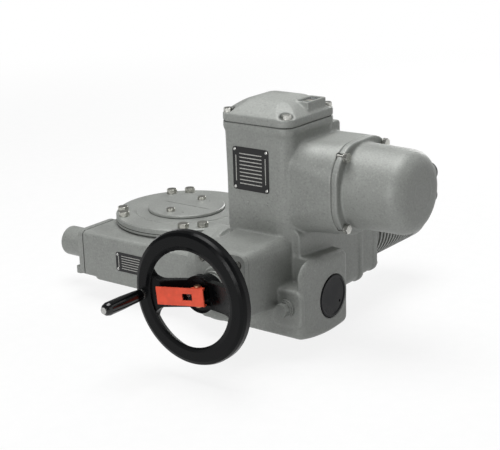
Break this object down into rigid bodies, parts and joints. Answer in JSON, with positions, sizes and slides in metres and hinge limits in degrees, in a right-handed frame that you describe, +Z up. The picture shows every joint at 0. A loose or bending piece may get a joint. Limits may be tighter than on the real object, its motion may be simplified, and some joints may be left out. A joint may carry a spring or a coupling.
{
  "type": "quarter-turn electric actuator",
  "caption": "Electric quarter-turn valve actuator: drive with motor, handwheel and connector hood on a round worm gearbox with a pointer cover.",
  "frame": {"origin": "on the output axis, in the plane of the gearbox's valve mounting face", "axes": "+Z up along the output axis away from the valve, +X along the gearbox worm to the drive, -Y from the drive to the handwheel"},
  "size_m": [0.6931, 0.6635, 0.381],
  "materials": {
    "grey_casting": "satin silver-grey paint on cast metal",
    "grey_cover": "satin silver-grey paint, smooth",
    "iron_casting": "satin silver-grey paint on cast iron",
    "steel_screw": "zinc-plated, painted over in places",
    "steel_shaft": "ground",
    "bearing_steel": "polished",
    "bronze": "machined bronze",
    "black_paint": "satin black coating",
    "black_plastic": "glossy black",
    "dark_plastic": "dark blue-black, moulded",
    "red_paint": "red-orange powder coat",
    "black_plate": "black anodised plate",
    "rubber": "matt",
    "glass": "clear",
    "copper": "enamelled winding",
    "insulation": "moulded insulation",
    "dial": "pale printed dial"
  },
  "bodies": {
    "housing": {"gear_housing": "iron_casting", "wheel_bushes": "bronze", "lower_seal": "rubber", "bearing_cover": "iron_casting", "bearing_cover_screws": "steel_screw", "worm_bearings": "bearing_steel", "worm_seal": "rubber", "stop_plate": "iron_casting", "stop_plate_screws": "steel_screw", "stop_sleeve": "steel_shaft", "protective_cap": "grey_cover", "gearbox_plate": "black_plate", "rating_plate": "black_plate", "plate_pins": "steel_screw", "drive_housing": "grey_casting", "input_flange_screws": "steel_screw", "hollow_shaft_bearings": "bearing_steel", "output_plug": "dark_plastic", "front_plug": "steel_screw", "drive_worm_bearings": "bearing_steel", "disc_springs": "steel_shaft", "motor_adapter": "grey_casting", "motor_screws": "steel_screw", "motor_housing": "grey_casting", "motor_end_cover": "grey_cover", "motor_end_screws": "steel_screw", "motor_stator": "copper", "motor_bearings": "bearing_steel", "boss_cover": "grey_cover", "boss_cover_screws": "steel_screw", "control_cover": "grey_cover", "control_cover_screws": "steel_screw", "window_glass": "glass", "control_unit": "steel_shaft", "limit_switches": "insulation", "connector_cover": "grey_cover", "connector_screws": "steel_screw", "entry_plugs": "black_plastic", "socket_carrier": "insulation", "contact_pins": "bearing_steel"},
    "valve_drive": {"worm_wheel": "bronze", "valve_coupling": "steel_shaft", "pointer_cover": "grey_cover", "pointer_screws": "steel_screw"},
    "worm_shaft": {"gear_worm": "steel_shaft", "hollow_shaft": "steel_shaft", "drive_wheel": "bronze"},
    "stop_nut": {"stop_nut": "bronze"},
    "motor_shaft": {"drive_worm": "steel_shaft", "motor_coupling": "steel_shaft", "motor_rotor": "steel_shaft"},
    "indicator": {"indicator_disc": "dial"},
    "handwheel": {"handwheel": "black_paint", "handwheel_shaft": "steel_shaft", "hub_screw": "steel_screw", "lever_pin": "bronze", "grip_pin": "steel_shaft"},
    "lever": {"changeover_lever": "red_paint"},
    "grip": {"grip": "black_plastic"},
    "clutch": {"clutch_rod": "steel_shaft"}
  },
  "joints": [
    {"name": "gear_worm_turn", "type": "hinge", "parent": "housing", "child": "worm_shaft", "pos_m": [0, -0.1, 0.044], "axis": [-1, 0, 0], "range_deg": [0, 4680]},
    {"name": "valve_turn", "type": "hinge", "parent": "housing", "child": "valve_drive", "pos_m": [0, 0, 0], "axis": [0, 0, 1], "range_deg": [0, 90]},
    {"name": "stop_nut_slide", "type": "slide", "parent": "housing", "child": "stop_nut", "axis": [1, 0, 0], "range_m": [0, 0.039]},
    {"name": "motor_turn", "type": "hinge", "parent": "housing", "child": "motor_shaft", "pos_m": [0.275, -0.1, 0.092], "axis": [0, -1, 0], "range_deg": [0, 79560]},
    {"name": "indicator_turn", "type": "hinge", "parent": "housing", "child": "indicator", "pos_m": [0.3135, -0.0825, 0.33], "axis": [0, 0, 1], "range_deg": [0, 180]},
    {"name": "handwheel_turn", "type": "hinge", "parent": "housing", "child": "handwheel", "pos_m": [0.275, -0.332, 0.092], "axis": [0, -1, 0], "continuous": true},
    {"name": "changeover", "type": "hinge", "parent": "handwheel", "child": "lever", "pos_m": [0.27898, -0.313, 0.09238], "axis": [-0.0958, 0, 0.9954], "range_deg": [0, 85]},
    {"name": "clutch_slide", "type": "slide", "parent": "handwheel", "child": "clutch", "axis": [0, 1, 0], "range_m": [0, 0.006]},
    {"name": "grip_spin", "type": "hinge", "parent": "handwheel", "child": "grip", "pos_m": [0.1884, -0.332, 0.08366], "axis": [0, -1, 0], "continuous": true}
  ],
  "couplings": [
    {"joint": "valve_turn", "follows": "gear_worm_turn", "ratio": 0.019231},
    {"joint": "stop_nut_slide", "follows": "gear_worm_turn", "m_per_rad": 0.00047746},
    {"joint": "motor_turn", "follows": "gear_worm_turn", "ratio": 17},
    {"joint": "indicator_turn", "follows": "gear_worm_turn", "ratio": 0.038462},
    {"joint": "clutch_slide", "follows": "changeover", "m_per_rad": 0.004044}
  ]
}
